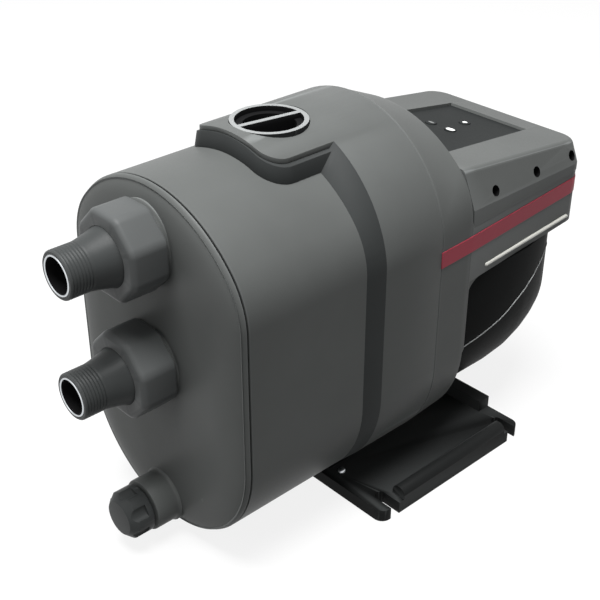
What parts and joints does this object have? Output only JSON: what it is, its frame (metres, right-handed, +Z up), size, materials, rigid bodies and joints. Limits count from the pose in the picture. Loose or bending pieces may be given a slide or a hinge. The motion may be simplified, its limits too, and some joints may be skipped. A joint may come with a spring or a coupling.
{
  "type": "booster pump set",
  "caption": "Compact self-priming booster pump with a moulded tank casing, threaded front ports, filler cap, enclosed motor and a sloping control box on a slotted base.",
  "frame": {"origin": "on the floor, midway between the base slots", "axes": "+Z up, the ports face -Y, the control box lies towards +Y"},
  "size_m": [0.217, 0.448, 0.293],
  "materials": {
    "base_plastic": "glass-filled polymer, moulded matt",
    "casing_plastic": "satin moulded composite",
    "band_plastic": "satin moulded composite, darker",
    "cover_plastic": "black moulded polymer",
    "stripe_red": "crimson moulded trim",
    "panel_film": "dark printed panel",
    "button_plastic": "grey push buttons",
    "fitting_plastic": "glass-filled polymer fittings",
    "steel": "turned or pressed steel",
    "seal_rubber": "moulded rubber",
    "inner_plastic": "natural moulded polymer",
    "seal_ceramic": "lapped ceramic and carbon",
    "motor_aluminium": "die-cast aluminium",
    "winding_copper": "varnished copper wire",
    "circuit_green": "circuit board and parts"
  },
  "bodies": {
    "casing": {"base_plate": "base_plastic", "front_casing": "casing_plastic", "mid_sleeve": "casing_plastic", "rear_shroud": "casing_plastic", "box_tray": "casing_plastic", "box_lid": "casing_plastic", "joint_band": "band_plastic", "motor_cover": "cover_plastic", "cable_gland": "cover_plastic", "accent_stripes": "stripe_red", "control_panel": "panel_film", "suction_stub": "fitting_plastic", "discharge_stub": "fitting_plastic", "base_bolts": "steel", "lid_screws": "steel", "frame_bolts": "steel", "suction_valve_spring": "steel", "discharge_valve_spring": "steel", "pressure_vessel": "steel", "pressure_sensor": "steel", "front_bearing": "steel", "rear_bearing": "steel", "stator_core": "steel", "suction_gasket": "seal_rubber", "discharge_gasket": "seal_rubber", "vessel_diaphragm": "seal_rubber", "suction_valve_cage": "inner_plastic", "discharge_valve_cage": "inner_plastic", "suction_plate": "inner_plastic", "diffuser": "inner_plastic", "seal_seat": "seal_ceramic", "seal_plate": "motor_aluminium", "motor_frame": "motor_aluminium", "end_shield": "motor_aluminium", "windings": "winding_copper", "circuit_board": "circuit_green", "board_parts": "circuit_green"},
    "rotor": {"motor_shaft": "steel", "rotor_core": "steel", "impeller": "inner_plastic", "seal_ring": "seal_ceramic"},
    "suction_poppet": {"suction_valve_poppet": "inner_plastic"},
    "discharge_poppet": {"discharge_valve_poppet": "inner_plastic"},
    "filler_seal": {"filler_o_ring": "seal_rubber"},
    "filler_cap": {"filler_cap": "fitting_plastic"},
    "drain_seal": {"drain_o_ring": "seal_rubber"},
    "drain_plug": {"drain_plug": "fitting_plastic"},
    "suction_ring": {"suction_clamp_ring": "steel"},
    "suction_nut": {"suction_union_nut": "fitting_plastic"},
    "discharge_ring": {"discharge_clamp_ring": "steel"},
    "discharge_nut": {"discharge_union_nut": "fitting_plastic"},
    "power_button": {"power_button": "button_plastic"},
    "pressure_button": {"pressure_button": "button_plastic"},
    "reset_button": {"reset_button": "button_plastic"}
  },
  "joints": [
    {"name": "rotor_spin", "type": "hinge", "parent": "casing", "child": "rotor", "pos_m": [0, 0, 0.102], "axis": [0, 1, 0], "continuous": true},
    {"name": "suction_valve_lift", "type": "slide", "parent": "casing", "child": "suction_poppet", "axis": [0, 1, 0], "range_m": [0, 0.006], "stiffness_N_per_m": 150, "springref_m": -0.004, "deforming": ["suction_valve_spring"]},
    {"name": "discharge_valve_lift", "type": "slide", "parent": "casing", "child": "discharge_poppet", "axis": [0, -1, 0], "range_m": [0, 0.006], "stiffness_N_per_m": 150, "springref_m": -0.004, "deforming": ["discharge_valve_spring"]},
    {"name": "filler_rise", "type": "slide", "parent": "casing", "child": "filler_seal", "axis": [0, 0, 1], "range_m": [0, 0.012]},
    {"name": "filler_turn", "type": "hinge", "parent": "filler_seal", "child": "filler_cap", "pos_m": [0, -0.094, 0.289], "axis": [0, 0, 1], "range_deg": [0, 1080]},
    {"name": "drain_draw", "type": "slide", "parent": "casing", "child": "drain_seal", "axis": [0, -1, 0], "range_m": [0, 0.012]},
    {"name": "drain_turn", "type": "hinge", "parent": "drain_seal", "child": "drain_plug", "pos_m": [0, -0.22, 0.03], "axis": [0, -1, 0], "range_deg": [0, 1080]},
    {"name": "suction_nut_draw", "type": "slide", "parent": "casing", "child": "suction_ring", "axis": [0, -1, 0], "range_m": [0, 0.0161]},
    {"name": "suction_nut_turn", "type": "hinge", "parent": "suction_ring", "child": "suction_nut", "pos_m": [0, -0.217, 0.148], "axis": [0, -1, 0], "range_deg": [0, 2520]},
    {"name": "discharge_nut_draw", "type": "slide", "parent": "casing", "child": "discharge_ring", "axis": [0, -1, 0], "range_m": [0, 0.0161]},
    {"name": "discharge_nut_turn", "type": "hinge", "parent": "discharge_ring", "child": "discharge_nut", "pos_m": [0, -0.217, 0.238], "axis": [0, -1, 0], "range_deg": [0, 2520]},
    {"name": "power_button_press", "type": "slide", "parent": "casing", "child": "power_button", "axis": [0, -0.1257, -0.9921], "range_m": [0, 0.0008], "stiffness_N_per_m": 600, "springref_m": -0.0004},
    {"name": "pressure_button_press", "type": "slide", "parent": "casing", "child": "pressure_button", "axis": [0, -0.1257, -0.9921], "range_m": [0, 0.0008], "stiffness_N_per_m": 600, "springref_m": -0.0004},
    {"name": "reset_button_press", "type": "slide", "parent": "casing", "child": "reset_button", "axis": [0, -0.1257, -0.9921], "range_m": [0, 0.0008], "stiffness_N_per_m": 600, "springref_m": -0.0004}
  ],
  "couplings": [
    {"joint": "filler_rise", "follows": "filler_turn", "m_per_rad": 0.00063661},
    {"joint": "drain_draw", "follows": "drain_turn", "m_per_rad": 0.00063661},
    {"joint": "suction_nut_draw", "follows": "suction_nut_turn", "m_per_rad": 0.00036605},
    {"joint": "discharge_nut_draw", "follows": "discharge_nut_turn", "m_per_rad": 0.00036605}
  ]
}
